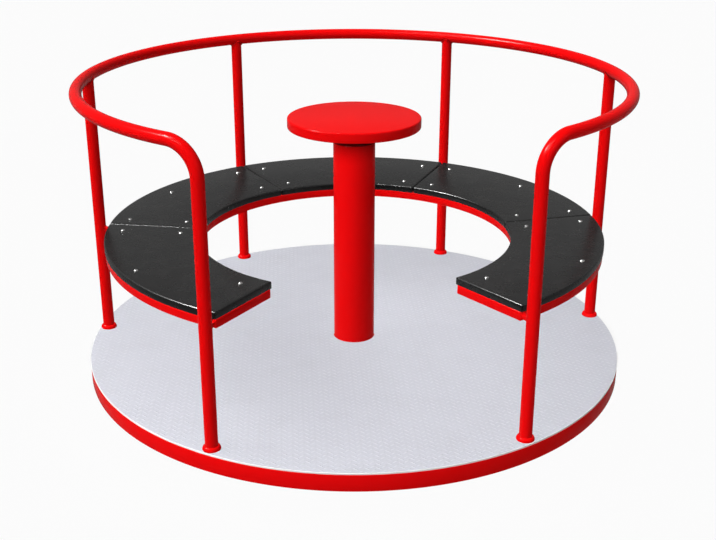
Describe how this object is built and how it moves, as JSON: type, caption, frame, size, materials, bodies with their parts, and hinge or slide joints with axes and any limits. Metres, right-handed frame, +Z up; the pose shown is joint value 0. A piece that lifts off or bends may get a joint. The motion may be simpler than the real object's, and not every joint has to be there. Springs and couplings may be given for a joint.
{
  "type": "playground roundabout",
  "caption": "Playground roundabout with a turning round deck, a ring of seats behind a tubular handrail, and a fixed hand wheel on a central column.",
  "frame": {"origin": "on the turning axis, at ground level, in the middle of the ground flange's underside", "axes": "+Z up along the turning axis; the open entrance between the two front posts faces -Y; +X to the right seen from the entrance"},
  "size_m": [1.5, 1.5, 0.8912],
  "materials": {
    "red_paint": "smooth semi-gloss red powder coat on steel",
    "tread_plate": "mill-finish aluminium tread plate with a fine raised pattern",
    "seat_board": "black plastic board, satin, with rounded edges",
    "zinc": "hot-dip galvanised steel, dull"
  },
  "bodies": {
    "ground_post": {"ground_flange": "zinc", "axle_tube": "red_paint", "bearing_seat": "zinc", "wheel_boss": "red_paint", "hand_wheel": "red_paint"},
    "platform": {"deck_plate": "tread_plate", "rim_band": "red_paint", "hub_ring": "red_paint", "column_sleeve": "red_paint", "spoke_front_left": "red_paint", "spoke_front_right": "red_paint", "spoke_left": "red_paint", "spoke_right": "red_paint", "spoke_back_left": "red_paint", "spoke_back_right": "red_paint", "rail_back": "red_paint", "rail_back_left": "red_paint", "rail_back_right": "red_paint", "rail_side_left": "red_paint", "rail_side_right": "red_paint", "front_post_left": "red_paint", "front_post_right": "red_paint", "post_left": "red_paint", "post_right": "red_paint", "post_back_left": "red_paint", "post_back_right": "red_paint", "foot_collar_front_left": "red_paint", "foot_collar_front_right": "red_paint", "foot_collar_left": "red_paint", "foot_collar_right": "red_paint", "foot_collar_back_left": "red_paint", "foot_collar_back_right": "red_paint", "seat_front_left": "seat_board", "seat_front_right": "seat_board", "seat_back_left": "seat_board", "seat_back_right": "seat_board", "seat_back": "seat_board", "seat_frame_outer": "red_paint", "seat_frame_inner": "red_paint", "end_bar_left": "red_paint", "end_bar_right": "red_paint", "cross_bar_side_left": "red_paint", "cross_bar_side_right": "red_paint", "cross_bar_back_left": "red_paint", "cross_bar_back_right": "red_paint", "lug_front_left": "red_paint", "lug_front_right": "red_paint", "lug_left": "red_paint", "lug_right": "red_paint", "lug_back_left": "red_paint", "lug_back_right": "red_paint"}
  },
  "joints": [
    {"name": "platform_spin", "type": "hinge", "parent": "ground_post", "child": "platform", "pos_m": [0, 0, 0], "axis": [0, 0, 1], "continuous": true}
  ]
}
